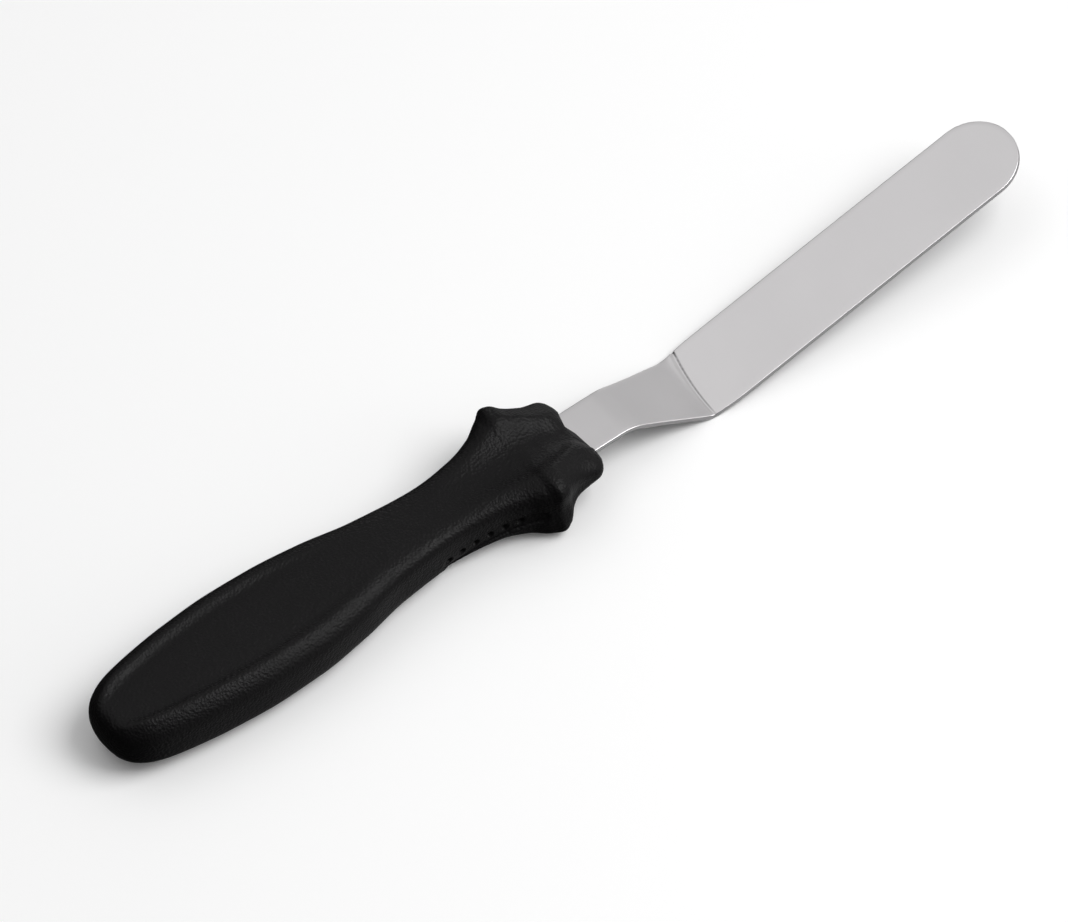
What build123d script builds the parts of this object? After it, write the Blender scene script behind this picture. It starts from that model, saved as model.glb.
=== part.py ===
"""Offset spatula: a cranked stainless blade with a plastic handle moulded onto its tang.

Millimetres, +Z up. The spatula lies as it does on a bench: the guard and the belly of the handle
rest on z = 0, the blade points along +X and the model is symmetric about the XZ plane. The origin
is the middle of the footprint, on the bench.
"""

import os
from math import atan2, cos, pi, radians, sin, tan

from build123d import *

# ---- blade ----
blade_thickness = 1.0
blade_width = 18.8
blade_length = 84.6          # flat part, from the lower bend to the tip
blade_pitch = 11.05          # degrees that the flat part climbs towards the tip
neck_width = 12.2
neck_run = 9.4               # straight steel between the handle and the upper bend
crank_run = 17.5             # length of the sloping part along X
crank_drop = 8.15            # how far the sloping part goes down
flare_start = 6.2            # from the handle to where the neck starts to widen
flare_end = 8.3              # from the lower bend to where the blade is at full width
upper_bend_radius = 10.0
lower_bend_radius = 3.6
tip_spare = 2.0              # extra strip that the round tip is cut from

# ---- tang and its lock holes ----
tang_cover = 35.0            # plastic beyond the tang's end
tang_width = 9.0
tang_shoulder = 12.0         # how far behind the exit the neck narrows to the tang
tang_corner = 3.0
lock_hole_diameter = 4.5
lock_hole_pitch = 20.0
lock_hole_count = 3
lock_hole_end_gap = 12.0     # from the tang's end to the last lock hole

# ---- handle: each top and bottom is measured from the level of the steel ----
handle_length = 119.0
nose_width, nose_top, nose_bottom = 17.6, 1.6, 2.2
lip_width, lip_top, lip_bottom = 22.5, 3.6, 4.2
guard_width, guard_top, guard_bottom = 29.7, 7.5, 8.5
waist_width, waist_top, waist_bottom = 15.9, 4.9, 6.9
belly_width, belly_top, belly_bottom = 27.0, 6.4, 8.6
butt_width, butt_top, butt_bottom = 16.8, 4.7, 6.9
end_width, end_top, end_bottom = 6.0, 1.0, 3.2
lip_back = 2.6               # distances behind the blade exit
guard_back = 13.8
waist_back = 35.0
belly_to_end = 35.0          # distances in front of the butt's end
butt_to_end = 3.4
guard_hollow = 0.08          # depth of the hollows between the guard's corners, as part of its radius
thumb_rest = 2.4             # depth of the hollow for the thumb on top of the guard
palm_dish = 0.8              # depth of the dished top of the belly

# ---- finger pads: a shallow recess on each side with a row of dimples ----
pad_front, pad_back = 16.5, 41.3
pad_height = 5.0
pad_depth = 0.5
dimple_diameter = 1.9
dimple_depth = 0.8
dimple_pitch = 3.2
dimple_count = 6
first_dimple = 22.3          # distance behind the blade exit
pad_level = 1.0              # pads run this far below the steel's level

outline_points = 28          # points round one handle section

# ---- how high the steel leaves the handle, so that the lowest of all touches the bench ----
crank_angle = atan2(crank_drop, crank_run)
pitch = radians(blade_pitch)
bend_lift = lower_bend_radius * (cos((crank_angle - pitch) / 2) / cos((crank_angle + pitch) / 2) - 1)
heel_bottom = crank_drop + blade_thickness / 2 - bend_lift
seat_height = max(belly_bottom, guard_bottom, waist_bottom, heel_bottom)

blade_reach = neck_run + crank_run + blade_length * cos(pitch)
exit_x = (handle_length - blade_reach) / 2
belly_back = handle_length - belly_to_end
butt_back = handle_length - butt_to_end

# ---- handle's named sections: distance behind the exit, width, top, bottom, squareness above and
# below its middle, hollow of its sides, dish of its top ----
nose = (0.0, nose_width, nose_top, nose_bottom, 2.8, 2.6, 0.0, 0.0)
lip = (lip_back, lip_width, lip_top, lip_bottom, 2.6, 2.4, 0.0, thumb_rest / 4)
guard = (guard_back, guard_width, guard_top, guard_bottom, 4.6, 5.0, guard_hollow, thumb_rest)
waist = (waist_back, waist_width, waist_top, waist_bottom, 4.8, 3.5, 0.0, 0.0)
belly = (belly_back, belly_width, belly_top, belly_bottom, 3.4, 3.4, 0.0, palm_dish)
butt = (butt_back, butt_width, butt_top, butt_bottom, 2.8, 2.8, 0.0, 0.0)
end = (handle_length, end_width, end_top, end_bottom, 2.2, 2.2, 0.0, 0.0)


def between(first, last, shares):
    """Sections between two others: each share says how far along, in width, top and bottom."""
    rows = []
    for along, wide, high, low in shares:
        parts = (along, wide, high, low, wide, wide, wide, high)
        rows.append(tuple(a + part * (b - a) for a, b, part in zip(first, last, parts)))
    return rows


sections = [
    nose,
    *between(nose, lip, [(0.3, 0.6, 0.45, 0.5)]),
    lip,
    *between(lip, guard, [
        (0.26, 0.10, 0.36, 0.07), (0.54, 0.29, 0.67, 0.05), (0.70, 0.54, 0.82, 0.16), (0.86, 0.90, 0.97, 0.74),
    ]),
    guard,
    *between(guard, waist, [(0.10, 0.17, 0.20, 0.02), (0.29, 0.56, 0.50, 0.25), (0.58, 0.86, 0.81, 0.69)]),
    waist,
    *between(waist, belly, [(0.31, 0.23, 0.33, 0.24), (0.55, 0.69, 0.67, 0.59), (0.80, 0.96, 0.93, 0.94)]),
    belly,
    *between(belly, butt, [(0.35, 0.14, 0.05, 0.06), (0.65, 0.37, 0.24, 0.24), (0.87, 0.65, 0.47, 0.47)]),
    butt,
    *between(butt, end, [(0.76, 0.50, 0.45, 0.45)]),
    end,
]


def outline(section, shrink=0.0):
    """Points round a handle section: a squared oval, hollowed on its sides and dished on top."""
    back, width, top, bottom, above, below, hollow, dish = section
    half_width, half_height = width / 2 - shrink, (top + bottom) / 2 - shrink
    points = []
    for step in range(outline_points):
        angle = 2 * pi * step / outline_points
        across, up = cos(angle), sin(angle)
        squareness = above if up > 0 else below
        reach = (abs(across) ** squareness + abs(up) ** squareness) ** (-1 / squareness)
        reach *= 1 - hollow * (1 + cos(4 * angle)) / 2
        y, z = half_width * reach * across, half_height * reach * up
        if z > 0:
            z -= dish * up ** 6
        points.append((y, seat_height + z + (top - bottom) / 2))
    return points


def side_at(back):
    """Half width of the handle at a distance behind the blade exit, between its sections."""
    for near, far in zip(sections, sections[1:]):
        if near[0] <= back <= far[0]:
            share = (back - near[0]) / (far[0] - near[0])
            return (near[1] + share * (far[1] - near[1])) / 2
    return sections[-1][1] / 2


# ---- blade: one strip, bent in side view and cut to its outline in plan ----
upper_bend = (exit_x + neck_run, seat_height)
lower_bend = (upper_bend[0] + crank_run, seat_height - crank_drop)
tip = (exit_x + blade_reach, lower_bend[1] + blade_length * sin(pitch))
strip_end = (tip[0] + tip_spare, tip[1] + tip_spare * tan(pitch))
tang_end = exit_x - handle_length + tang_cover
tip_radius = blade_width / 2
tip_radius_in_plan = tip_radius * cos(pitch)

with BuildPart() as blade:
    with BuildSketch(Plane.XZ):
        with BuildLine():
            FilletPolyline(
                (tang_end - tip_spare, seat_height), upper_bend, lower_bend, strip_end,
                radius=[upper_bend_radius, lower_bend_radius],
            )
            offset(amount=blade_thickness / 2, side=Side.BOTH, kind=Kind.INTERSECTION)
        make_face()
    extrude(amount=blade_width, both=True)
    with BuildSketch(Plane.XY):
        with BuildLine():
            shoulder = exit_x - tang_shoulder
            flare_from = exit_x + flare_start
            flare_to = lower_bend[0] + flare_end
            Polyline(
                (tang_end, 0), (tang_end, tang_width / 2), (shoulder - tang_corner, tang_width / 2),
                (shoulder, neck_width / 2), (flare_from, neck_width / 2),
            )
            Spline(
                (flare_from, neck_width / 2), (flare_to, tip_radius),
                tangents=[(1, 0), (1, 0)],
            )
            tip_centre = tip[0] - tip_radius_in_plan
            Line((flare_to, tip_radius), (tip_centre, tip_radius))
            EllipticalCenterArc((tip_centre, 0), tip_radius_in_plan, tip_radius, arc_size=90)
            Line((tip[0], 0), (tang_end, 0))
        make_face()
        mirror(about=Plane.XZ)
    extrude(amount=handle_length, both=True, mode=Mode.INTERSECT)
    first_hole = tang_end + lock_hole_end_gap
    hole_places = [(first_hole + number * lock_hole_pitch, 0) for number in range(lock_hole_count)]
    with BuildSketch(Plane.XY.offset(seat_height)):
        with Locations(*hole_places):
            Circle(lock_hole_diameter / 2)
    extrude(amount=blade_thickness, both=True, mode=Mode.SUBTRACT)

blade.part.label = "blade"

# ---- core that the finger pads are cut down to: the handle's sections, smaller by the pad's depth ----
with BuildPart() as pad_floor:
    for section in sections:
        if guard_back <= section[0] <= belly_back:
            with BuildSketch(Plane.YZ.offset(exit_x - section[0])):
                with BuildLine():
                    Spline(*outline(section, shrink=pad_depth), periodic=True)
                make_face()
    loft()

with BuildPart() as pads:
    pad_middle = exit_x - (pad_front + pad_back) / 2
    with BuildSketch(Plane.XZ):
        with Locations((pad_middle, seat_height - pad_level)):
            SlotOverall(pad_back - pad_front, pad_height)
    extrude(amount=guard_width, both=True)
    add(pad_floor.part, mode=Mode.SUBTRACT)

# ---- handle: lofted over its sections, then cut for the pads, the dimples and the steel ----
with BuildPart() as handle:
    for section in sections:
        with BuildSketch(Plane.YZ.offset(exit_x - section[0])):
            with BuildLine():
                Spline(*outline(section), periodic=True)
            make_face()
    loft()
    add(pads.part, mode=Mode.SUBTRACT)
    for number in range(dimple_count):
        back = first_dimple + number * dimple_pitch
        for side in (1, -1):
            floor = side * (side_at(back) - pad_depth - dimple_depth)
            with BuildSketch(Plane.XZ.offset(-floor)):
                with Locations((exit_x - back, seat_height - pad_level)):
                    Circle(dimple_diameter / 2)
            extrude(amount=-side * guard_width, mode=Mode.SUBTRACT)
    add(blade.part, mode=Mode.SUBTRACT)

handle.part.label = "handle"

os.makedirs("parts", exist_ok=True)
export_step(blade.part, "parts/blade.step")
export_step(handle.part, "parts/handle.step")

whole = blade.part.bounding_box().add(handle.part.bounding_box())
print(f"overall {whole.size.X:.1f} x {whole.size.Y:.1f} x {whole.size.Z:.1f} mm")
print(f"centre {whole.center().X:.2f}, {whole.center().Y:.2f}; lowest {whole.min.Z:.2f}")
print(f"steel leaves the handle at x {exit_x:.2f}, z {seat_height:.2f}; heel {heel_bottom:.2f} below it")
print(f"volumes: blade {blade.part.volume:.0f}, handle {handle.part.volume:.0f} mm3")
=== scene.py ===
# Small offset spatula: a satin stainless blade with a black plastic handle moulded onto its tang.
# The tool's sizes are written in millimetres and mm turns them into metres. The lights and the
# camera stand in metres.
import math

import bpy
import numpy as np
from mathutils import Matrix, Vector


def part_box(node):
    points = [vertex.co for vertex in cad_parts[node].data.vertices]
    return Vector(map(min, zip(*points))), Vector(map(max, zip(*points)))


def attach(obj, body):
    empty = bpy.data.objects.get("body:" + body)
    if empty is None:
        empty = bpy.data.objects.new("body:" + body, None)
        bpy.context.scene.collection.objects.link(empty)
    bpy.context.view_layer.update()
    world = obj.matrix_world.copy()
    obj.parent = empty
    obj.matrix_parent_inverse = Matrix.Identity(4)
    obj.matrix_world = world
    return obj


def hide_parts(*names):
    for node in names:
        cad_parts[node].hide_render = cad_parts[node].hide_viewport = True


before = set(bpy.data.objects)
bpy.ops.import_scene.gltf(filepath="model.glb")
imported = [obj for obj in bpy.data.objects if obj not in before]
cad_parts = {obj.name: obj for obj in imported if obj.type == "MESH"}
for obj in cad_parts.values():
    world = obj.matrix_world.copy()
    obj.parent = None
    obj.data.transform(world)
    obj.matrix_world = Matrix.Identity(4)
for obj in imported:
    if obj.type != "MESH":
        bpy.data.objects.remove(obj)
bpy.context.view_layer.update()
print("frame loaded")

mm = 0.001

# the steel leaves the plastic here
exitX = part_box("handle")[1][0] / mm
exitZ = 8.6


def linearColour(hexText):
    channels = [int(hexText[start : start + 2], 16) / 255 for start in (0, 2, 4)]
    linear = [c / 12.92 if c <= 0.04045 else ((c + 0.055) / 1.055) ** 2.4 for c in channels]
    return (*linear, 1.0)


# adds one node, sets its properties, then its inputs: a socket is linked, anything else is a value
def addNode(tree, kind, settings=None, inputs=None):
    node = tree.nodes.new(kind)
    for name, value in (settings or {}).items():
        setattr(node, name, value)
    for key, value in (inputs or {}).items():
        if isinstance(value, bpy.types.NodeSocket):
            tree.links.new(value, node.inputs[key])
        else:
            node.inputs[key].default_value = value
    return node


def newMaterial(name):
    material = bpy.data.materials.new(name)
    material.use_nodes = True
    tree = material.node_tree
    tree.nodes.clear()
    return material, tree


# Black polypropylene, injection-moulded in a spark-eroded mould: a fine pebbled grain breaks the
# gloss up, so it looks dull on flats and glows softly along rounded edges.
plastic = {
    "colour": "070607",
    "worn": "0b0a0b",  # paler and duller where washing has worn it
    "ior": 1.49,
    "specular": 0.16,  # the pitted skin returns a third of the gloss of a polished one
    "glossiest": 0.38,  # roughness as moulded
    "dullest": 0.49,  # and where it is worn
    "grainSize": 0.55,  # mm between pebbles, about twice the real grit so that it shows
    "grainDepth": 0.24,
    "grainStrength": 0.55,
    "pebbleBlend": 0.6,  # how softly one pebble runs into the next
    "fineSize": 0.22,  # mm, the pits on the pebbles
    "fineShare": 0.5,
    "patchSize": 9.0,  # mm, from one worn patch to the next
    "patchRange": (0.3, 0.7),  # the noise mostly lies between these
}


def makePlastic(p):
    material, tree = newMaterial("mouldedBlackPolypropylene")
    place = addNode(tree, "ShaderNodeTexCoord").outputs["Object"]
    grain = addNode(tree, "ShaderNodeTexVoronoi", {"feature": "SMOOTH_F1"},
                    {"Vector": place, "Scale": 1 / (p["grainSize"] * mm),
                     "Smoothness": p["pebbleBlend"]})
    fine = addNode(tree, "ShaderNodeTexNoise", {},
                   {"Vector": place, "Scale": 1 / (p["fineSize"] * mm), "Detail": 3.0})
    heights = addNode(tree, "ShaderNodeMath", {"operation": "MULTIPLY_ADD"},
                      {0: fine.outputs["Fac"], 1: p["fineShare"], 2: grain.outputs["Distance"]})
    patches = addNode(tree, "ShaderNodeTexNoise", {},
                      {"Vector": place, "Scale": 1 / (p["patchSize"] * mm), "Detail": 4.0})
    gloss = addNode(tree, "ShaderNodeMapRange", {},
                    {"Value": patches.outputs["Fac"], "From Min": p["patchRange"][0],
                     "From Max": p["patchRange"][1], "To Min": p["glossiest"],
                     "To Max": p["dullest"]})
    colour = addNode(tree, "ShaderNodeMix", {"data_type": "RGBA"},
                     {"Factor": patches.outputs["Fac"], 6: linearColour(p["colour"]),
                      7: linearColour(p["worn"])})
    bump = addNode(tree, "ShaderNodeBump", {},
                   {"Height": heights.outputs[0], "Strength": p["grainStrength"],
                    "Distance": p["grainDepth"] * mm})
    shader = addNode(tree, "ShaderNodeBsdfPrincipled", {},
                     {"Base Color": colour.outputs[2], "Roughness": gloss.outputs["Result"],
                      "IOR": p["ior"], "Specular IOR Level": p["specular"],
                      "Normal": bump.outputs["Normal"]})
    addNode(tree, "ShaderNodeOutputMaterial", {}, {"Surface": shader.outputs["BSDF"]})
    return material


# Rolled spring stainless, belt-ground across and tumbled to a satin: pale, with a soft broad sheen
# and very fine streaks across the blade.
steel = {
    "colour": "dddbdc",
    "glossiest": 0.30,
    "dullest": 0.40,
    "streakPitch": 0.35,  # mm between grinding streaks, coarser than the real grit so that it shows
    "streakLength": 14.0,
    "streakDepth": 0.008,
    "streakStrength": 0.4,
    "streakShare": 0.5,  # weight of the streaks beside the slow clouds
    "cloudSize": 16.0,
    "mixRange": (0.4, 1.0),  # streaks and clouds together mostly lie between these
}


def makeSteel(p):
    material, tree = newMaterial("satinSpringStainless")
    place = addNode(tree, "ShaderNodeTexCoord").outputs["Object"]
    across = addNode(tree, "ShaderNodeMapping", {},
                     {"Vector": place,
                      "Scale": (1 / (p["streakPitch"] * mm), 1 / (p["streakLength"] * mm),
                                1 / (p["streakPitch"] * mm))})
    streaks = addNode(tree, "ShaderNodeTexNoise", {},
                      {"Vector": across.outputs["Vector"], "Scale": 1.0, "Detail": 3.0, "Roughness": 0.6})
    cloud = addNode(tree, "ShaderNodeTexNoise", {},
                    {"Vector": place, "Scale": 1 / (p["cloudSize"] * mm), "Detail": 3.0})
    mixed = addNode(tree, "ShaderNodeMath", {"operation": "MULTIPLY_ADD"},
                    {0: streaks.outputs["Fac"], 1: p["streakShare"], 2: cloud.outputs["Fac"]})
    gloss = addNode(tree, "ShaderNodeMapRange", {},
                    {"Value": mixed.outputs[0], "From Min": p["mixRange"][0],
                     "From Max": p["mixRange"][1], "To Min": p["glossiest"], "To Max": p["dullest"]})
    bump = addNode(tree, "ShaderNodeBump", {},
                   {"Height": streaks.outputs["Fac"], "Strength": p["streakStrength"],
                    "Distance": p["streakDepth"] * mm})
    shader = addNode(tree, "ShaderNodeBsdfPrincipled", {},
                     {"Base Color": linearColour(p["colour"]), "Metallic": 1.0,
                      "Roughness": gloss.outputs["Result"], "Normal": bump.outputs["Normal"]})
    addNode(tree, "ShaderNodeOutputMaterial", {}, {"Surface": shader.outputs["BSDF"]})
    return material


plasticMaterial = makePlastic(plastic)
steelMaterial = makeSteel(steel)
print("materials made")

# The handle is a shell through cross sections. Every stop starts with mm behind the exit.
# body: width, rise above the middle line, drop below it, how far that line lies below the steel,
#   squareness above it, squareness below it, hollow of the sides
# thumb: from the middle to the scoop's crests, depth of the scoop
# dish: depth of the palm dish, height of the rim round it
handle = {
    "body": [
        (0.4, 17.6, 1.6, 2.2, 0.0, 2.8, 2.6, 0.00),
        (1.2, 20.6, 2.5, 3.3, 0.0, 2.7, 2.5, 0.00),
        (2.6, 22.5, 3.6, 4.2, 0.0, 2.6, 2.4, 0.00),
        (5.5, 23.2, 5.0, 4.5, 0.0, 2.7, 2.6, 0.02),
        (8.6, 24.6, 6.2, 4.2, 0.0, 3.4, 3.0, 0.05),
        (10.4, 26.4, 6.8, 4.8, 0.0, 3.8, 3.6, 0.06),
        (12.2, 29.0, 7.4, 7.4, 0.0, 4.6, 4.8, 0.07),
        (13.8, 29.7, 7.5, 8.5, 0.0, 4.8, 5.2, 0.08),
        (16.0, 27.4, 6.9, 8.6, 0.0, 3.8, 5.2, 0.07),
        (20.0, 22.0, 6.3, 7.9, 0.2, 4.0, 4.2, 0.04),
        (26.0, 17.8, 5.9, 6.9, 0.5, 4.8, 3.6, 0.01),
        (35.0, 15.9, 5.6, 6.2, 0.7, 5.0, 3.5, 0.00),
        (50.0, 18.5, 6.2, 6.5, 0.8, 4.4, 3.3, 0.00),
        (62.0, 23.6, 6.8, 7.0, 0.9, 3.7, 3.2, 0.00),
        (74.0, 26.6, 7.2, 7.6, 0.9, 3.3, 3.3, 0.00),
        (84.0, 27.0, 7.4, 7.6, 1.0, 3.4, 3.4, 0.00),
        (95.0, 25.6, 7.3, 7.5, 1.0, 3.4, 3.4, 0.00),
        (104.5, 23.2, 7.0, 7.2, 1.0, 3.3, 3.3, 0.00),
        (111.4, 20.4, 6.6, 6.8, 1.0, 3.1, 3.1, 0.00),
        (115.6, 16.8, 5.7, 5.9, 1.0, 2.8, 2.8, 0.00),
        (118.2, 11.4, 4.0, 4.2, 1.0, 2.5, 2.5, 0.00),
        (119.1, 5.6, 2.0, 2.2, 1.0, 2.2, 2.2, 0.00),
    ],
    "thumb": [
        (0.4, 4.0, 0.2),
        (2.6, 4.4, 1.4),
        (5.5, 5.6, 2.05),
        (8.6, 7.1, 2.35),
        (10.4, 8.0, 2.6),
        (12.2, 8.7, 2.9),
        (13.8, 8.5, 2.9),
        (16.0, 7.9, 2.35),
        (20.0, 6.7, 1.5),
        (26.0, 5.4, 0.65),
        (35.0, 4.4, 0.0),
    ],
    "dish": [
        (50.0, 0.0, 0.0),
        (64.0, 0.6, 0.1),
        (78.0, 1.1, 0.2),
        (104.0, 1.2, 0.3),
        (112.0, 1.0, 0.45),
        (117.0, 0.0, 0.2),
    ],
    "topReach": 1.6,  # how far down the sides the scoop and the dish are felt
    "scoopFlatness": 2.6,  # flatter floor and steeper walls as this grows
    "scoopFlare": 1.6,  # softer lips as this grows
    "dishWall": 3.0,  # steepness of the step from the rim down into the dish
    "rimInset": 3.4,  # from the outline to the crest of the rim round the dish
    "rimWidth": 1.4,
    "noseHollow": 1.3,  # how far the middle of the nose lies behind its lobes
    "noseFade": 7.0,  # mm over which that hollow dies out
    "noseReach": 6.0,  # from the middle to where the lobes stand full
    "columns": 220,
    "sideBunching": 0.42,  # columns stand closer on the sides, where the finger pads are
    "noseEdge": 1.2,  # mm at the nose where the rings close up
    "padStretch": (16.0, 42.0),  # mm behind the exit, with close rings for the finger pads
    "buttEdge": 12.0,  # mm at the butt where the rings close up
    "rings": (9, 60, 120, 90, 40),  # nose edge, guard, finger pads, palm, butt edge
}


# a smooth line through the stops that never overshoots them
def through(places, values, wanted):
    places, values = np.array(places, float), np.array(values, float)
    gaps = np.diff(places)
    slopes = np.diff(values) / gaps
    tangents = np.zeros(len(places))
    left, right = slopes[:-1], slopes[1:]
    same = left * right > 0
    wide, narrow = 2 * gaps[1:] + gaps[:-1], gaps[1:] + 2 * gaps[:-1]
    inner = np.zeros(len(left))
    inner[same] = (wide + narrow)[same] / (wide[same] / left[same] + narrow[same] / right[same])
    tangents[1:-1] = inner
    tangents[0], tangents[-1] = slopes[0], slopes[-1]
    cell = np.clip(np.searchsorted(places, wanted, side="right") - 1, 0, len(gaps) - 1)
    t = (wanted - places[cell]) / gaps[cell]
    return ((2 * t**3 - 3 * t**2 + 1) * values[cell] + (t**3 - 2 * t**2 + t) * gaps[cell] * tangents[cell]
            + (3 * t**2 - 2 * t**3) * values[cell + 1] + (t**3 - t**2) * gaps[cell] * tangents[cell + 1])


def meshFrom(name, points, faces, material):
    mesh = bpy.data.meshes.new(name)
    mesh.from_pydata([tuple(point) for point in points], [], faces)
    mesh.polygons.foreach_set("use_smooth", [True] * len(mesh.polygons))
    mesh.materials.append(material)
    mesh.update()
    piece = bpy.data.objects.new(name, mesh)
    bpy.context.scene.collection.objects.link(piece)
    return piece


def curveOf(stops, column, backs):
    table = np.array(stops)
    return through(table[:, 0], table[:, column], np.clip(backs, table[0, 0], table[-1, 0]))


def makeHandle(h):
    start, length = h["body"][0][0], h["body"][-1][0]
    noseEdge, buttEdge, quarterTurn = h["noseEdge"], h["buttEdge"], 0.5 * math.pi
    padsFrom, padsTo = h["padStretch"]
    nose, guard, pads, palm, butt = h["rings"]
    backs = np.concatenate([
        start + noseEdge * (1 - np.cos(np.linspace(0, quarterTurn, nose, endpoint=False))),
        np.linspace(start + noseEdge, padsFrom, guard, endpoint=False),
        np.linspace(padsFrom, padsTo, pads, endpoint=False),
        np.linspace(padsTo, length - buttEdge, palm, endpoint=False),
        length - buttEdge * np.cos(np.linspace(0, quarterTurn, butt)),
    ])
    even = np.linspace(0, 2 * math.pi, h["columns"], endpoint=False)
    angles = even - h["sideBunching"] / 2 * np.sin(2 * even)
    back, angle = np.meshgrid(backs, angles, indexing="ij")
    width, rise, drop, sag, above, below, hollow = (curveOf(h["body"], n, back) for n in range(1, 8))
    across, up = np.cos(angle), np.sin(angle)
    square = np.where(up > 0, above, below)
    reach = (np.abs(across) ** square + np.abs(up) ** square) ** (-1 / square)
    reach *= 1 - hollow * (1 + np.cos(4 * angle)) / 2 * (1 - np.clip(up, 0, 1) ** 2)
    y, z = width / 2 * reach * across, np.where(up > 0, rise, drop) * reach * up
    onTop = np.clip(up * h["topReach"], 0, 1) ** 2  # 1 on top, 0 on the sides and underneath

    # the thumb scoop
    crestAt, scoopDepth = (curveOf(h["thumb"], n, back) for n in range(1, 3))
    scoop = np.clip(1 - np.abs(y / crestAt) ** h["scoopFlatness"], 0, 1) ** h["scoopFlare"]
    z -= onTop * scoopDepth * scoop

    # the palm dish and its rim
    dish, rim = (curveOf(h["dish"], n, back) for n in range(1, 3))
    fromRim = (width / 2 - np.abs(y) - h["rimInset"]) / h["rimWidth"]
    inner = 1 / (1 + np.exp(-h["dishWall"] * (fromRim - 1)))
    z += onTop * (rim * np.exp(-(fromRim**2)) - dish * inner)

    # the hollow between the nose's lobes
    middle = np.clip(1 - (y / h["noseReach"]) ** 2, 0, 1)
    x = exitX - back - h["noseHollow"] * middle * np.exp(-((back / h["noseFade"]) ** 2))
    points = np.stack([x, y, z + exitZ - sag], 2).reshape(-1, 3) * mm
    count, total = h["columns"], points.shape[0]
    faces = []
    for first in range(0, total - count, count):
        for column in range(count):
            a, b = first + column, first + (column + 1) % count
            faces.append((a, a + count, b + count, b))
    faces.append(tuple(range(count)))
    faces.append(tuple(range(total - 1, total - count - 1, -1)))
    return meshFrom("mouldedHandle", points, faces, plasticMaterial)


handlePiece = makeHandle(handle)
print("handle shaped")

# Finger pads: a tapered recess along each side of the grip, with a row of small round dimples sunk
# in its floor.
fingerPads = {
    "Exit X": exitX * mm,
    "Level": (exitZ - 1.3) * mm,  # of the recess's front end; the row sinks towards the rear
    "Level Slope": 0.09,
    "Front": 18.0 * mm,  # centre of the recess's narrow front end, behind the exit
    "Rear": 37.2 * mm,
    "Front Radius": 1.5 * mm,
    "Rear Radius": 2.7 * mm,
    "Recess Depth": 0.6 * mm,
    "Recess Edge": 0.2 * mm,  # half the width of its wall
    "First Dimple": 21.6 * mm,
    "Dimple Pitch": 3.3 * mm,
    "Dimple Count": 6.0,
    "Dimple Radius": 0.95 * mm,
    "Dimple Floor": 0.45,  # share of the radius that is flat
    "Dimple Depth": 0.75 * mm,
}


def newTree(name, inputs):
    tree = bpy.data.node_groups.new(name, "GeometryNodeTree")
    tree.interface.new_socket("Geometry", in_out="INPUT", socket_type="NodeSocketGeometry")
    tree.interface.new_socket("Geometry", in_out="OUTPUT", socket_type="NodeSocketGeometry")
    for label in inputs:
        tree.interface.new_socket(label, in_out="INPUT", socket_type="NodeSocketFloat")
    return tree, addNode(tree, "NodeGroupInput").outputs


# hangs the tree on the piece, sets its inputs by identifier, and bakes the result to a plain mesh
def applyTree(piece, tree, values, material):
    modifier = piece.modifiers.new(tree.name, "NODES")
    modifier.node_group = tree
    for item in tree.interface.items_tree:
        if item.in_out == "INPUT" and item.name in values:
            modifier[item.identifier] = values[item.name]
    evaluated = piece.evaluated_get(bpy.context.evaluated_depsgraph_get())
    mesh = bpy.data.meshes.new_from_object(evaluated)
    piece.modifiers.remove(modifier)
    piece.data = mesh
    mesh.name = piece.name
    mesh.materials.clear()
    mesh.materials.append(material)
    mesh.polygons.foreach_set("use_smooth", [True] * len(mesh.polygons))


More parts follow.
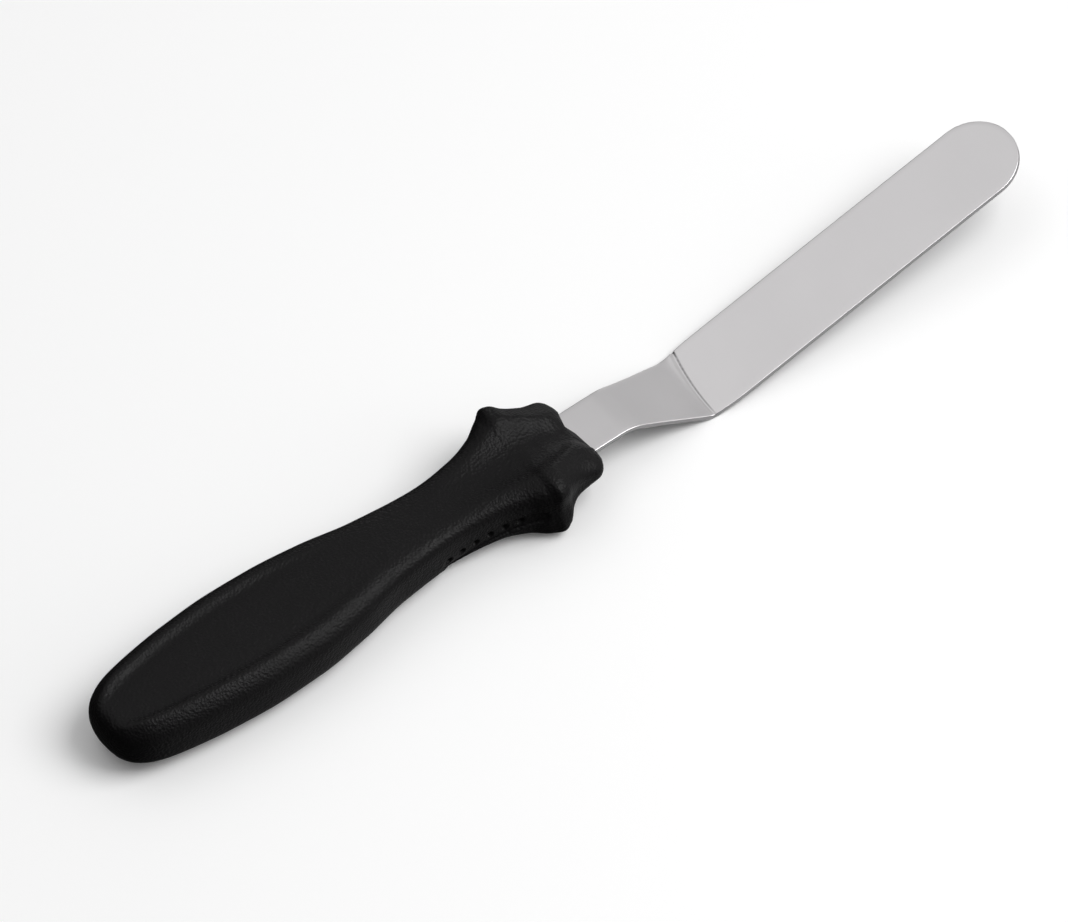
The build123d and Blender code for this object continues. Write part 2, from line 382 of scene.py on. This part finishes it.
def makePadTree(inputs):
    tree, given = newTree("fingerPads", inputs)
    place = addNode(tree, "GeometryNodeInputPosition").outputs["Position"]
    xyz = addNode(tree, "ShaderNodeSeparateXYZ", {}, {0: place}).outputs
    back = addNode(tree, "ShaderNodeMath", {"operation": "SUBTRACT"}, {0: given["Exit X"], 1: xyz["X"]})
    flatRise = addNode(tree, "ShaderNodeMath", {"operation": "SUBTRACT"}, {0: xyz["Z"], 1: given["Level"]})
    behind = addNode(tree, "ShaderNodeMath", {"operation": "SUBTRACT"},
                     {0: back.outputs[0], 1: given["Front"]})
    rise = addNode(tree, "ShaderNodeMath", {"operation": "MULTIPLY_ADD"},
                   {0: behind.outputs[0], 1: given["Level Slope"], 2: flatRise.outputs[0]})
    # distance from the recess's middle line, whose radius grows from front to rear
    along = addNode(tree, "ShaderNodeClamp", {}, {"Value": back.outputs[0], "Min": given["Front"],
                                                  "Max": given["Rear"]})
    radius = addNode(tree, "ShaderNodeMapRange", {},
                     {"Value": along.outputs[0], "From Min": given["Front"], "From Max": given["Rear"],
                      "To Min": given["Front Radius"], "To Max": given["Rear Radius"]})
    past = addNode(tree, "ShaderNodeMath", {"operation": "SUBTRACT"},
                   {0: back.outputs[0], 1: along.outputs[0]})
    offLine = addNode(tree, "ShaderNodeCombineXYZ", {}, {"X": past.outputs[0], "Y": rise.outputs[0]})
    away = addNode(tree, "ShaderNodeVectorMath", {"operation": "LENGTH"}, {0: offLine.outputs[0]})
    outside = addNode(tree, "ShaderNodeMath", {"operation": "SUBTRACT"},
                      {0: away.outputs["Value"], 1: radius.outputs["Result"]})
    wall = addNode(tree, "ShaderNodeMath", {"operation": "MULTIPLY"}, {0: given["Recess Edge"], 1: -1.0})
    recess = addNode(tree, "ShaderNodeMapRange", {"interpolation_type": "SMOOTHSTEP"},
                     {"Value": outside.outputs[0], "From Min": given["Recess Edge"],
                      "From Max": wall.outputs[0]})
    # nearest dimple of the row
    steps = addNode(tree, "ShaderNodeMath", {"operation": "SUBTRACT"},
                    {0: back.outputs[0], 1: given["First Dimple"]})
    number = addNode(tree, "ShaderNodeMath", {"operation": "DIVIDE"},
                     {0: steps.outputs[0], 1: given["Dimple Pitch"]})
    whole = addNode(tree, "ShaderNodeMath", {"operation": "ROUND"}, {0: number.outputs[0]})
    last = addNode(tree, "ShaderNodeMath", {"operation": "SUBTRACT"}, {0: given["Dimple Count"], 1: 1.0})
    kept = addNode(tree, "ShaderNodeClamp", {},
                   {"Value": whole.outputs[0], "Min": 0.0, "Max": last.outputs[0]})
    offCentre = addNode(tree, "ShaderNodeMath", {"operation": "SUBTRACT"},
                        {0: number.outputs[0], 1: kept.outputs[0]})
    offDimple = addNode(tree, "ShaderNodeMath", {"operation": "MULTIPLY"},
                        {0: offCentre.outputs[0], 1: given["Dimple Pitch"]})
    flat = addNode(tree, "ShaderNodeCombineXYZ", {}, {"X": offDimple.outputs[0], "Y": rise.outputs[0]})
    reach = addNode(tree, "ShaderNodeVectorMath", {"operation": "LENGTH"}, {0: flat.outputs[0]})
    floor = addNode(tree, "ShaderNodeMath", {"operation": "MULTIPLY"},
                    {0: given["Dimple Radius"], 1: given["Dimple Floor"]})
    cup = addNode(tree, "ShaderNodeMapRange", {"interpolation_type": "SMOOTHSTEP"},
                  {"Value": reach.outputs["Value"], "From Min": given["Dimple Radius"],
                   "From Max": floor.outputs[0]})
    # both sink the surface towards the middle of the grip
    sunk = addNode(tree, "ShaderNodeMath", {"operation": "MULTIPLY"},
                   {0: cup.outputs["Result"], 1: given["Dimple Depth"]})
    depth = addNode(tree, "ShaderNodeMath", {"operation": "MULTIPLY_ADD"},
                    {0: recess.outputs["Result"], 1: given["Recess Depth"], 2: sunk.outputs[0]})
    side = addNode(tree, "ShaderNodeMath", {"operation": "SIGN"}, {0: xyz["Y"]})
    inward = addNode(tree, "ShaderNodeMath", {"operation": "MULTIPLY"}, {0: side.outputs[0], 1: -1.0})
    move = addNode(tree, "ShaderNodeMath", {"operation": "MULTIPLY"},
                   {0: depth.outputs[0], 1: inward.outputs[0]})
    offset = addNode(tree, "ShaderNodeCombineXYZ", {}, {"Y": move.outputs[0]})
    moved = addNode(tree, "GeometryNodeSetPosition", {},
                    {"Geometry": given["Geometry"], "Offset": offset.outputs[0]})
    real = addNode(tree, "GeometryNodeRealizeInstances", {}, {"Geometry": moved.outputs["Geometry"]})
    painted = addNode(tree, "GeometryNodeSetMaterial", {},
                      {"Geometry": real.outputs["Geometry"], "Material": plasticMaterial})
    addNode(tree, "NodeGroupOutput", {}, {"Geometry": painted.outputs["Geometry"]})
    return tree


applyTree(handlePiece, makePadTree(fingerPads), fingerPads, plasticMaterial)
print("finger pads sunk")

# The blade is one strip: a straight bar whose rings are laid along the bent spine, narrowed to the
# neck and the tang, and rounded off at the tip. The edge rounding follows the outline all the way.
# Stations along it are measured from the tang's hidden end.
blade = {
    "tangLength": 84.0,
    "neckRun": 9.4,
    "crankRun": 17.5,
    "crankDrop": 8.15,
    "length": 84.6,
    "pitch": 11.05,  # degrees that the blade climbs
    "rings": 640,
    "ringShares": (0.0, 0.36, 0.62, 0.82),  # to the dense stretch, through it, to the tip's arc
    "sideCuts": 15,  # cuts in each side of the section
    "bendSteps": 24,
    "edgeSteps": 4,
    "inputs": {
        "Width": 18.8 * mm,
        "Neck Width": 12.2 * mm,
        "Tang Width": 9.0 * mm,
        "Thickness": 1.0 * mm,
        "Edge Radius": 0.16 * mm,
        "Flat Share": 0.85,  # share of the half width that takes up the narrowing
        "Upper Bend": 10.0 * mm,
        "Lower Bend Near": 2.0 * mm,  # the lower bend is tighter on one side than on the other
        "Lower Bend Far": 7.5 * mm,
        "Shoulder": 72.0 * mm,  # the tang has become the neck here
        "Shoulder Length": 3.0 * mm,
        "Flare Start": 90.2 * mm,
        "Flare End": 121.0 * mm,
        "Dense From": 104.0 * mm,
        "Dense To": 120.0 * mm,
        "Crease Near": 113.1 * mm,  # the press leaves a fine crease where the blade proper begins
        "Crease Far": 115.8 * mm,
        "Crease Bow": 2.0,  # 1 is a straight crease
        "Crease Fade": 0.3,  # how it dies out towards the near side
        "Crease Half Width": 0.6 * mm,
        "Crease Depth": 0.32 * mm,
        "Weld Distance": 0.0002 * mm,
    },
}


def makeBladeTree(b):
    tree, given = newTree("bentBlade", b["inputs"])
    # the spine, with its two bends rounded, once for each side of the blade
    index = addNode(tree, "GeometryNodeInputIndex")
    isUpper = addNode(tree, "FunctionNodeCompare", {"data_type": "INT", "operation": "EQUAL"},
                      {2: index.outputs[0], 3: 1})
    line = addNode(tree, "GeometryNodeMeshToCurve", {}, {"Mesh": given["Geometry"]})
    spines = []
    for side in ("Lower Bend Near", "Lower Bend Far"):
        bend = addNode(tree, "GeometryNodeSwitch", {"input_type": "FLOAT"},
                       {"Switch": isUpper.outputs[0], "False": given[side], "True": given["Upper Bend"]})
        spines.append(addNode(tree, "GeometryNodeFilletCurve", {"mode": "POLY"},
                              {"Curve": line.outputs[0], "Count": b["bendSteps"],
                               "Radius": bend.outputs[0]}))
    length = addNode(tree, "GeometryNodeCurveLength", {}, {"Curve": spines[0].outputs[0]})
    # a straight bar, one unit long, with rounded edges
    bar = addNode(tree, "GeometryNodeCurvePrimitiveLine", {}, {"Start": (0, 0, 0), "End": (1, 0, 0)})
    rings = addNode(tree, "GeometryNodeResampleCurve", {}, {"Curve": bar.outputs[0], "Count": b["rings"]})
    outline = addNode(tree, "GeometryNodeCurvePrimitiveQuadrilateral", {},
                      {"Width": given["Width"], "Height": given["Thickness"]})
    cut = addNode(tree, "GeometryNodeSubdivideCurve", {},
                  {"Curve": outline.outputs[0], "Cuts": b["sideCuts"]})
    afterCorner = addNode(tree, "FunctionNodeIntegerMath", {"operation": "MODULO"},
                          {0: index.outputs[0], 1: b["sideCuts"] + 1})
    isCorner = addNode(tree, "FunctionNodeCompare", {"data_type": "INT", "operation": "EQUAL"},
                       {2: afterCorner.outputs[0], 3: 0})
    rounding = addNode(tree, "ShaderNodeMath", {"operation": "MULTIPLY"},
                       {0: isCorner.outputs[0], 1: given["Edge Radius"]})
    section = addNode(tree, "GeometryNodeFilletCurve", {"mode": "POLY"},
                      {"Curve": cut.outputs[0], "Count": b["edgeSteps"], "Radius": rounding.outputs[0]})
    solid = addNode(tree, "GeometryNodeCurveToMesh", {},
                    {"Curve": rings.outputs[0], "Profile Curve": section.outputs[0], "Fill Caps": True})
    xyz = addNode(tree, "ShaderNodeSeparateXYZ", {},
                  {0: addNode(tree, "GeometryNodeInputPosition").outputs[0]}).outputs
    half = addNode(tree, "ShaderNodeMath", {"operation": "ABSOLUTE"}, {0: xyz["Y"]})
    halfFull = addNode(tree, "ShaderNodeMath", {"operation": "MULTIPLY"}, {0: given["Width"], 1: 0.5})
    nearEdge = addNode(tree, "ShaderNodeMath", {"operation": "MULTIPLY"}, {0: given["Width"], 1: -0.5})
    straight = addNode(tree, "ShaderNodeMath", {"operation": "SUBTRACT"},
                       {0: length.outputs["Length"], 1: halfFull.outputs[0]})
    # up to the last share the rings run to the centre of the tip's arc, and stand closest where the
    # blade bends; the rest turn round the tip
    shares = b["ringShares"]
    ahead = addNode(tree, "ShaderNodeMath", {"operation": "SUBTRACT"},
                    {0: straight.outputs[0], 1: given["Dense To"]})
    dense = addNode(tree, "ShaderNodeMath", {"operation": "SUBTRACT"},
                    {0: given["Dense To"], 1: given["Dense From"]})
    reaches = (given["Dense From"], dense.outputs[0], ahead.outputs[0])
    first, second, third = (
        addNode(tree, "ShaderNodeMapRange", {},
                {"Value": xyz["X"], "From Min": shares[n], "From Max": shares[n + 1], "To Min": 0.0,
                 "To Max": reaches[n]}).outputs["Result"] for n in range(3))
    toDense = addNode(tree, "ShaderNodeMath", {"operation": "ADD"}, {0: first, 1: second})
    station = addNode(tree, "ShaderNodeMath", {"operation": "ADD"}, {0: toDense.outputs[0], 1: third})
    turn = addNode(tree, "ShaderNodeMapRange", {},
                   {"Value": xyz["X"], "From Min": shares[3], "From Max": 1.0, "To Min": 0.0,
                    "To Max": 0.5 * math.pi})
    sine = addNode(tree, "ShaderNodeMath", {"operation": "SINE"}, {0: turn.outputs["Result"]})
    cosine = addNode(tree, "ShaderNodeMath", {"operation": "COSINE"}, {0: turn.outputs["Result"]})
    along = addNode(tree, "ShaderNodeMath", {"operation": "MULTIPLY_ADD"},
                    {0: half.outputs[0], 1: sine.outputs[0], 2: station.outputs[0]})
    # width: tang, neck, flare, full blade
    tangEnd = addNode(tree, "ShaderNodeMath", {"operation": "SUBTRACT"},
                      {0: given["Shoulder"], 1: given["Shoulder Length"]})
    neck = addNode(tree, "ShaderNodeMapRange", {"interpolation_type": "SMOOTHSTEP"},
                   {"Value": along.outputs[0], "From Min": tangEnd.outputs[0],
                    "From Max": given["Shoulder"], "To Min": given["Tang Width"],
                    "To Max": given["Neck Width"]})
    wide = addNode(tree, "ShaderNodeMapRange", {"interpolation_type": "SMOOTHSTEP"},
                   {"Value": along.outputs[0], "From Min": given["Flare Start"],
                    "From Max": given["Flare End"], "To Min": neck.outputs["Result"],
                    "To Max": given["Width"]})
    narrowing = addNode(tree, "ShaderNodeMath", {"operation": "SUBTRACT"},
                        {0: given["Width"], 1: wide.outputs["Result"]})
    halfNarrowing = addNode(tree, "ShaderNodeMath", {"operation": "MULTIPLY"},
                            {0: narrowing.outputs[0], 1: 0.5})
    # the edges keep their rounding, the flat between them is squeezed evenly
    edgeFrom = addNode(tree, "ShaderNodeMath", {"operation": "MULTIPLY"},
                       {0: halfFull.outputs[0], 1: given["Flat Share"]})
    share = addNode(tree, "ShaderNodeMapRange", {},
                    {"Value": half.outputs[0], "From Min": 0.0, "From Max": edgeFrom.outputs[0],
                     "To Min": 0.0, "To Max": halfNarrowing.outputs[0]})
    halfHere = addNode(tree, "ShaderNodeMath", {"operation": "SUBTRACT"},
                       {0: half.outputs[0], 1: share.outputs["Result"]})
    closing = addNode(tree, "ShaderNodeMath", {"operation": "MULTIPLY"},
                      {0: halfHere.outputs[0], 1: cosine.outputs[0]})
    side = addNode(tree, "ShaderNodeMath", {"operation": "SIGN"}, {0: xyz["Y"]})
    across = addNode(tree, "ShaderNodeMath", {"operation": "MULTIPLY"},
                     {0: closing.outputs[0], 1: side.outputs[0]})
    # lay the ring between the two spines
    acrossShare = addNode(tree, "ShaderNodeMapRange", {},
                          {"Value": across.outputs[0], "From Min": nearEdge.outputs[0],
                           "From Max": halfFull.outputs[0]})
    near, far = (addNode(tree, "GeometryNodeSampleCurve", {"mode": "LENGTH"},
                         {"Curves": spine.outputs[0], "Length": along.outputs[0]}) for spine in spines)
    middle, forward = (addNode(tree, "ShaderNodeMix", {"data_type": "VECTOR"},
                               {"Factor": acrossShare.outputs["Result"], 4: near.outputs[name],
                                5: far.outputs[name]}) for name in ("Position", "Tangent"))
    normal = addNode(tree, "ShaderNodeVectorMath", {"operation": "CROSS_PRODUCT"},
                     {0: forward.outputs[1], 1: (0, 1, 0)})
    upward = addNode(tree, "ShaderNodeVectorMath", {"operation": "NORMALIZE"}, {0: normal.outputs[0]})
    # the press crease on the upper face
    bowed = addNode(tree, "ShaderNodeMath", {"operation": "POWER"},
                    {0: acrossShare.outputs["Result"], 1: given["Crease Bow"]})
    creaseAt = addNode(tree, "ShaderNodeMapRange", {},
                       {"Value": bowed.outputs[0], "To Min": given["Crease Near"],
                        "To Max": given["Crease Far"]})
    fading = addNode(tree, "ShaderNodeMath", {"operation": "POWER"},
                     {0: acrossShare.outputs["Result"], 1: given["Crease Fade"]})
    creaseDepth = addNode(tree, "ShaderNodeMath", {"operation": "MULTIPLY"},
                          {0: fading.outputs[0], 1: given["Crease Depth"]})
    fromCrease = addNode(tree, "ShaderNodeMath", {"operation": "SUBTRACT"},
                         {0: along.outputs[0], 1: creaseAt.outputs["Result"]})
    offCrease = addNode(tree, "ShaderNodeMath", {"operation": "ABSOLUTE"}, {0: fromCrease.outputs[0]})
    crease = addNode(tree, "ShaderNodeMapRange", {"interpolation_type": "SMOOTHSTEP"},
                     {"Value": offCrease.outputs[0], "From Min": given["Crease Half Width"], "From Max": 0.0,
                      "To Min": 0.0, "To Max": creaseDepth.outputs[0]})
    isTop = addNode(tree, "ShaderNodeMath", {"operation": "GREATER_THAN"}, {0: xyz["Z"], 1: 0.0})
    pressed = addNode(tree, "ShaderNodeMath", {"operation": "MULTIPLY"},
                      {0: crease.outputs["Result"], 1: isTop.outputs[0]})
    level = addNode(tree, "ShaderNodeMath", {"operation": "SUBTRACT"}, {0: xyz["Z"], 1: pressed.outputs[0]})
    lifted = addNode(tree, "ShaderNodeVectorMath", {"operation": "SCALE"},
                     {0: upward.outputs[0], "Scale": level.outputs[0]})
    sideways = addNode(tree, "ShaderNodeCombineXYZ", {}, {"Y": across.outputs[0]})
    raised = addNode(tree, "ShaderNodeVectorMath", {"operation": "ADD"},
                     {0: middle.outputs[1], 1: lifted.outputs[0]})
    placed = addNode(tree, "ShaderNodeVectorMath", {"operation": "ADD"},
                     {0: raised.outputs[0], 1: sideways.outputs[0]})
    laid = addNode(tree, "GeometryNodeSetPosition", {},
                   {"Geometry": solid.outputs[0], "Position": placed.outputs[0]})
    # the last ring folds onto the tip's middle line, where its doubles are welded
    welded = addNode(tree, "GeometryNodeMergeByDistance", {},
                     {"Geometry": laid.outputs[0], "Distance": given["Weld Distance"]})
    real = addNode(tree, "GeometryNodeRealizeInstances", {}, {"Geometry": welded.outputs[0]})
    painted = addNode(tree, "GeometryNodeSetMaterial", {},
                      {"Geometry": real.outputs[0], "Material": steelMaterial})
    addNode(tree, "NodeGroupOutput", {}, {"Geometry": painted.outputs[0]})
    return tree


def makeBlade(b):
    pitch = math.radians(b["pitch"])
    corners = [(exitX - b["tangLength"], exitZ), (exitX + b["neckRun"], exitZ)]
    corners.append((corners[1][0] + b["crankRun"], exitZ - b["crankDrop"]))
    corners.append((corners[2][0] + b["length"] * math.cos(pitch),
                    corners[2][1] + b["length"] * math.sin(pitch)))
    mesh = bpy.data.meshes.new("stainlessBlade")
    mesh.from_pydata([(x * mm, 0, z * mm) for x, z in corners], [(0, 1), (1, 2), (2, 3)], [])
    piece = bpy.data.objects.new("stainlessBlade", mesh)
    bpy.context.scene.collection.objects.link(piece)
    applyTree(piece, makeBladeTree(b), b["inputs"], steelMaterial)
    return piece


bladePiece = makeBlade(blade)
print("blade bent", len(bladePiece.data.vertices))

for piece, node, slot in ((handlePiece, "handle", "black_plastic"), (bladePiece, "blade", "stainless")):
    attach(piece, "root")
    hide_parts(node)

# A sheet of white paper on the bench, a soft room, four softboxes and the camera.
studio = {
    "floor": "f6f6f6",
    "floorHalf": 3.0,  # metres
    "floorRoughness": 0.9,
    "floorGlow": 0.05,  # keeps the paper near white in the soft shade
    "sky": "ffffff",
    "skyStrength": 0.55,
    "spillStrength": 0.42,
    "darkStrength": 0.035,
    "litSide": (1.0, -0.45, 0.0),
    "skyLean": (0.6, 0.0, 1.0),  # the bright sky comes lower on the blade's side
    "skyAside": -0.2,  # and higher on the tool's two long sides
    "skyEdge": (0.1, 0.5),  # how softly the room goes from dark to bright
    "lights": [
        ("keySoftbox", (0.5, -0.46, 0.94), 0.75, 9.4),  # place and size in metres, watts
        ("bladeSoftbox", (-0.33, 0.66, 1.08), 1.3, 1.8),
        ("lowSoftbox", (0.75, -1.0, 0.42), 0.6, 1.3),
        ("fillSoftbox", (0.95, 1.2, 0.12), 0.35, 0.9),
    ],
    "azimuth": -31.7,  # the camera stands behind the butt and to the right of it
    "elevation": 51.9,
    "roll": -6.4,
    "distance": 6.0,  # metres
    "pictureWidth": 0.2149,  # metres across the picture at the tool
    "aim": (-5.3, 1.9, 5.8),  # mm
    "sensor": 36.0,  # mm
    "clipEnd": 20.0,
}


def makeStudio(s):
    scene = bpy.context.scene
    scene.view_settings.view_transform = "Standard"
    world = bpy.data.worlds.new("softRoom")
    world.use_nodes = True
    scene.world = world
    room = world.node_tree
    room.nodes.clear()
    direction = addNode(room, "ShaderNodeTexCoord").outputs["Generated"]
    edgeLow, edgeHigh = s["skyEdge"]
    # the low sky is lit only towards the blade's side of the room
    towardsLit = addNode(room, "ShaderNodeVectorMath", {"operation": "DOT_PRODUCT"},
                         {0: direction, 1: s["litSide"]})
    spill = addNode(room, "ShaderNodeMapRange", {"interpolation_type": "SMOOTHSTEP"},
                    {"Value": towardsLit.outputs["Value"], "From Min": edgeLow, "From Max": edgeHigh,
                     "To Min": s["darkStrength"], "To Max": s["spillStrength"]})
    lean = addNode(room, "ShaderNodeVectorMath", {"operation": "DOT_PRODUCT"},
                   {0: direction, 1: s["skyLean"]})
    compass = addNode(room, "ShaderNodeSeparateXYZ", {}, {0: direction}).outputs
    aside = addNode(room, "ShaderNodeMath", {"operation": "ABSOLUTE"}, {0: compass["Y"]})
    horizon = addNode(room, "ShaderNodeMath", {"operation": "MULTIPLY_ADD"},
                      {0: aside.outputs[0], 1: s["skyAside"], 2: lean.outputs["Value"]})
    dome = addNode(room, "ShaderNodeMapRange", {"interpolation_type": "SMOOTHSTEP"},
                   {"Value": horizon.outputs[0], "From Min": edgeLow, "From Max": edgeHigh,
                    "To Min": spill.outputs["Result"], "To Max": s["skyStrength"]})
    glow = addNode(room, "ShaderNodeBackground", {},
                   {"Color": linearColour(s["sky"]), "Strength": dome.outputs["Result"]})
    addNode(room, "ShaderNodeOutputWorld", {}, {"Surface": glow.outputs["Background"]})

    floorMesh = bpy.data.meshes.new("floor")
    half = s["floorHalf"]
    floorMesh.from_pydata([(-half, -half, 0), (half, -half, 0), (half, half, 0), (-half, half, 0)], [],
                          [(0, 1, 2, 3)])
    floor = bpy.data.objects.new("floor", floorMesh)
    scene.collection.objects.link(floor)
    material, tree = newMaterial("palePaper")
    shader = addNode(tree, "ShaderNodeBsdfPrincipled", {},
                     {"Base Color": linearColour(s["floor"]), "Roughness": s["floorRoughness"],
                      "Emission Color": linearColour(s["floor"]), "Emission Strength": s["floorGlow"]})
    addNode(tree, "ShaderNodeOutputMaterial", {}, {"Surface": shader.outputs["BSDF"]})
    floorMesh.materials.append(material)
    floor.visible_glossy = False  # the bench doesn't mirror in the plastic or the steel

    for name, place, size, watts in s["lights"]:
        panel = bpy.data.lights.new(name, "AREA")
        panel.energy, panel.size = watts, size
        light = bpy.data.objects.new(name, panel)
        light.location = place
        light.rotation_euler = (-light.location).to_track_quat("-Z", "Y").to_euler()
        scene.collection.objects.link(light)

    cameraData = bpy.data.cameras.new("camera")
    cameraData.sensor_width = s["sensor"]
    cameraData.lens = s["sensor"] * s["distance"] / s["pictureWidth"]
    cameraData.clip_end = s["clipEnd"]
    camera = bpy.data.objects.new("camera", cameraData)
    turn, lift = math.radians(s["azimuth"]), math.radians(s["elevation"])
    back = Vector((math.sin(turn) * math.cos(lift), -math.cos(turn) * math.cos(lift), math.sin(lift)))
    aim = Vector(s["aim"]) * mm
    level = (-back).to_track_quat("-Z", "Y").to_matrix().to_4x4()
    tilt = Matrix.Rotation(math.radians(s["roll"]), 4, "Z")
    camera.matrix_world = Matrix.Translation(aim + back * s["distance"]) @ level @ tilt
    scene.collection.objects.link(camera)
    scene.camera = camera


makeStudio(studio)
print("studio set")
